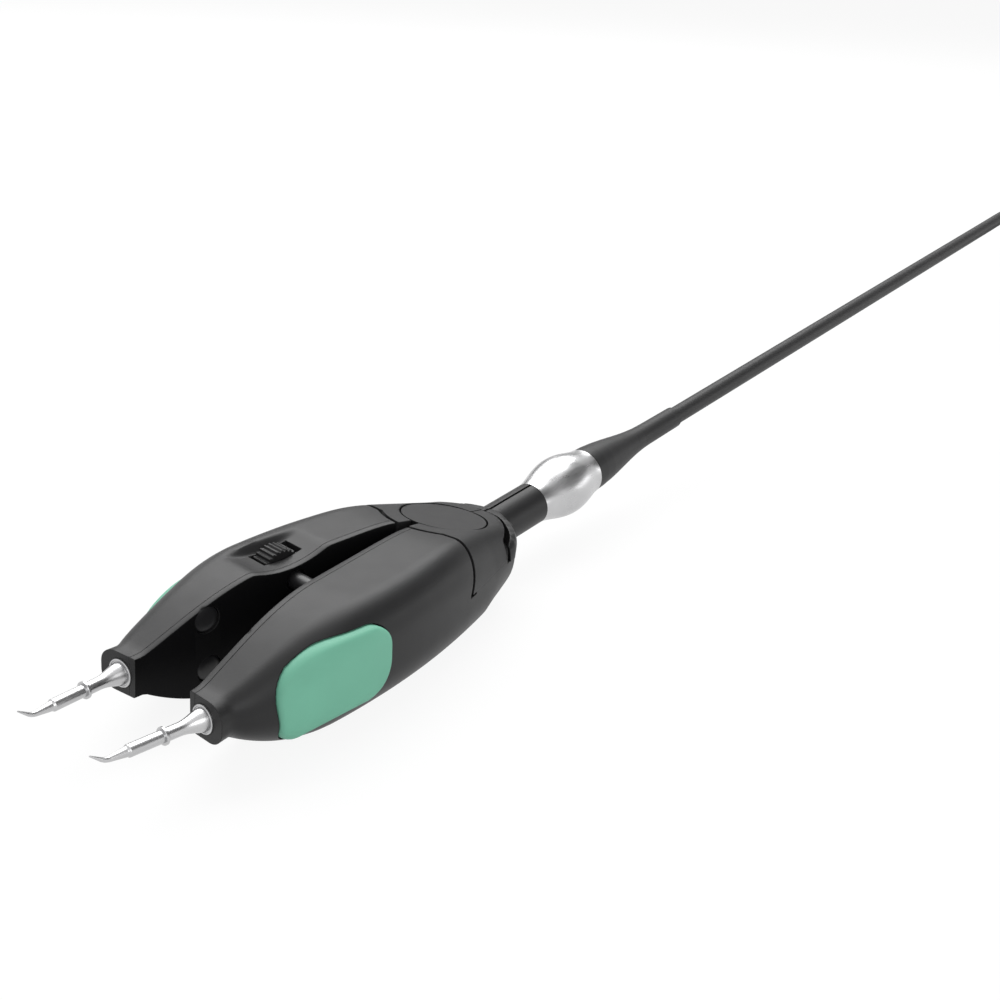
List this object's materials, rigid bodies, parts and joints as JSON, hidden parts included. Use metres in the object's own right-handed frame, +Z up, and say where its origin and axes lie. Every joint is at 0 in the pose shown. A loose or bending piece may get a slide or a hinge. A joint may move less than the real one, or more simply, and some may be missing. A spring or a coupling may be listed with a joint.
{
  "type": "soldering tweezers",
  "caption": "Corded soldering tweezers with sprung lens-shaped arms on a rear hinge, bent heated tips, green grip pads, an aperture wheel and a metal ferrule.",
  "frame": {"origin": "where the hinge axis meets the rest surface, at the middle of the flat underside of the pivot foot", "axes": "+X toward the cable, -X toward the tips, +Y to the left arm, +Z up along the hinge axis"},
  "size_m": [0.5241, 0.0558, 0.0318],
  "materials": {
    "body_plastic": "fine matte moulded",
    "grip_rubber": "soft satin",
    "cable_rubber": "matte",
    "satin_metal": "satin",
    "bare_steel": "plain",
    "dark_steel": "blackened",
    "contact_brass": "bright"
  },
  "bodies": {
    "hub": {"hinge_pin": "bare_steel", "pivot_cap": "body_plastic", "pivot_foot": "body_plastic", "neck_left": "body_plastic", "neck_right": "body_plastic", "return_spring": "bare_steel", "ferrule": "satin_metal", "cable_clamp": "bare_steel", "strain_relief": "cable_rubber", "cable": "cable_rubber", "cable_coil": "cable_rubber", "coil_tie": "cable_rubber", "plug_body": "body_plastic", "plug_ring": "satin_metal", "plug_pins": "contact_brass"},
    "left_arm": {"shell_left": "body_plastic", "inner_cover_left": "body_plastic", "hub_cover_left": "body_plastic", "grip_pad_left": "grip_rubber", "nose_seal_left": "cable_rubber", "hinge_plate_left": "bare_steel", "plate_screws_left": "bare_steel", "socket_left": "bare_steel", "cartridge_left": "satin_metal", "collar_left": "satin_metal", "tip_left": "satin_metal", "cover_screws_left": "dark_steel", "wheel_bracket": "body_plastic"},
    "right_arm": {"shell_right": "body_plastic", "inner_cover_right": "body_plastic", "hub_cover_right": "body_plastic", "grip_pad_right": "grip_rubber", "nose_seal_right": "cable_rubber", "hinge_plate_right": "bare_steel", "plate_screws_right": "bare_steel", "socket_right": "bare_steel", "cartridge_right": "satin_metal", "collar_right": "satin_metal", "tip_right": "satin_metal", "cover_screws_right": "dark_steel"},
    "wheel": {"adjust_wheel": "body_plastic"},
    "stop": {"stop_screw": "dark_steel"}
  },
  "joints": [
    {"name": "left_arm_close", "type": "hinge", "parent": "hub", "child": "left_arm", "pos_m": [0, 0, 0], "axis": [0, 0, 1], "range_deg": [0, 4.9], "stiffness_Nm_per_rad": 0.6, "springref_deg": -3.44},
    {"name": "right_arm_close", "type": "hinge", "parent": "hub", "child": "right_arm", "pos_m": [0, 0, 0], "axis": [0, 0, -1], "range_deg": [0, 4.9], "stiffness_Nm_per_rad": 0.6, "springref_deg": -3.44},
    {"name": "wheel_turn", "type": "hinge", "parent": "left_arm", "child": "wheel", "pos_m": [-0.03335, 0.00312, 0.0154], "axis": [0.0932, 0.9956, 0], "range_deg": [-360, 360]},
    {"name": "stop_slide", "type": "slide", "parent": "left_arm", "child": "stop", "axis": [0.0932, 0.9956, 0], "range_m": [-0.0008, 0.0008]}
  ],
  "couplings": [
    {"joint": "wheel_turn", "follows": "stop_slide", "rad_per_m": 7854}
  ]
}
